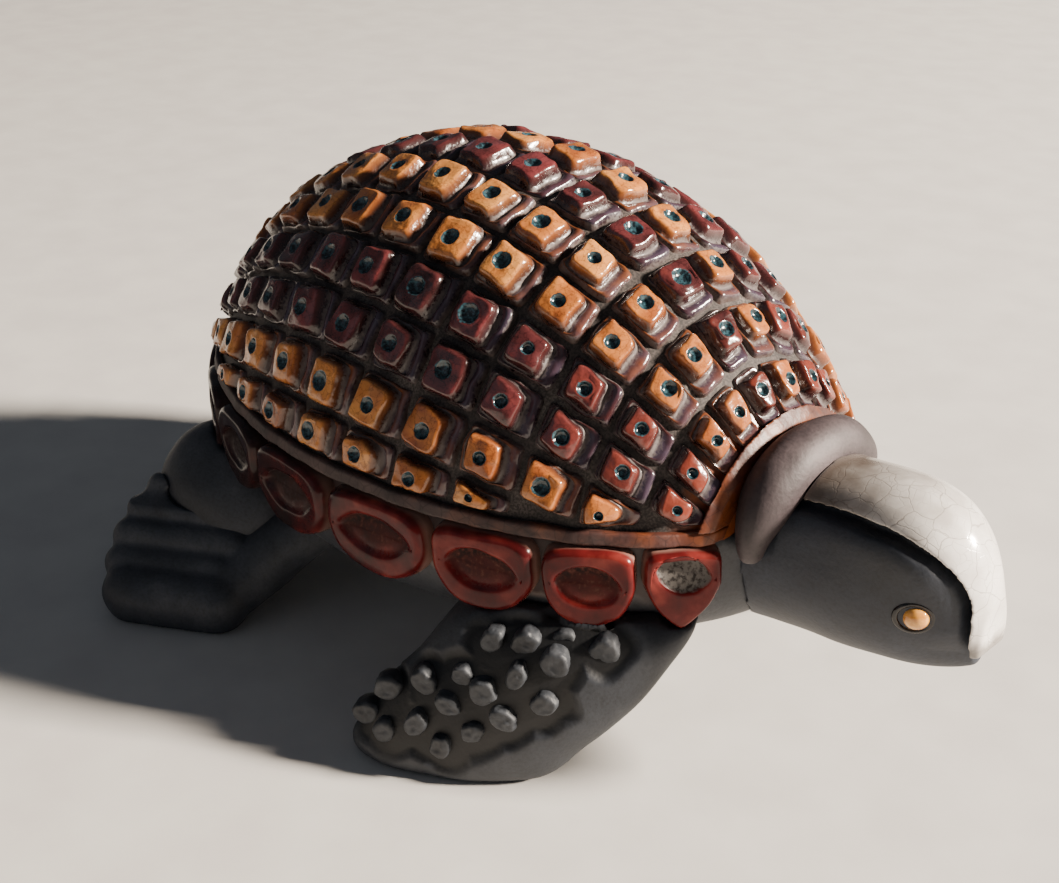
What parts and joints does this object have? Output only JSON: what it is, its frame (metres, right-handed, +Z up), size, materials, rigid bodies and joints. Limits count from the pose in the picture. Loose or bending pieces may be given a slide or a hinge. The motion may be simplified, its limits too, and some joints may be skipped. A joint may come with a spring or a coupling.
{
  "type": "turtle figurine",
  "caption": "Free-standing smoke-fired ceramic turtle ornament with a domed carapace of raised glazed scales, dished marginal scutes, a crackle-glazed head and flippers.",
  "frame": {"origin": "on the table, under the middle of the whole figure's bounding box", "axes": "+X towards the head, +Y towards the turtle's left, +Z up"},
  "size_m": [0.1732, 0.1316, 0.0902],
  "materials": {
    "amber_glaze": "glossy amber raku glaze with a fine crackle",
    "russet_glaze": "satin russet raku glaze, speckled",
    "scute_glaze": "glossy red glaze with a bare speckled dish",
    "groove_clay": "matt, dusty smoked clay",
    "smoked_clay": "matt smoke-blackened clay",
    "collar_clay": "burnished grey-brown clay",
    "crackle_white_glaze": "glossy white crackle glaze",
    "eye_amber_glaze": "glossy amber bead",
    "eye_black_glaze": "glossy black ring"
  },
  "bodies": {
    "root": {"carapace_dome": "groove_clay", "carapace_edge_band": "amber_glaze", "carapace_front_lip": "amber_glaze", "body_bowl": "smoked_clay", "head": "smoked_clay", "neck_collar": "collar_clay", "head_crown": "crackle_white_glaze", "right_scale_row_1": "russet_glaze", "right_scale_row_2": "amber_glaze", "right_scale_row_3": "amber_glaze", "right_scale_row_4": "russet_glaze", "right_scale_row_5": "russet_glaze", "right_scale_row_6": "amber_glaze", "right_scale_row_7": "amber_glaze", "right_marginal_scutes": "scute_glaze", "right_eye_bead": "eye_amber_glaze", "right_eye_ring": "eye_black_glaze", "right_front_flipper": "smoked_clay", "right_front_flipper_pebbles": "smoked_clay", "right_haunch": "smoked_clay", "right_hind_flipper": "smoked_clay", "left_scale_row_1": "amber_glaze", "left_scale_row_2": "russet_glaze", "left_scale_row_3": "russet_glaze", "left_scale_row_4": "amber_glaze", "left_scale_row_5": "amber_glaze", "left_scale_row_6": "russet_glaze", "left_scale_row_7": "russet_glaze", "left_marginal_scutes": "scute_glaze", "left_eye_bead": "eye_amber_glaze", "left_eye_ring": "eye_black_glaze", "left_front_flipper": "smoked_clay", "left_front_flipper_pebbles": "smoked_clay", "left_haunch": "smoked_clay", "left_hind_flipper": "smoked_clay"}
  },
  "joints": []
}
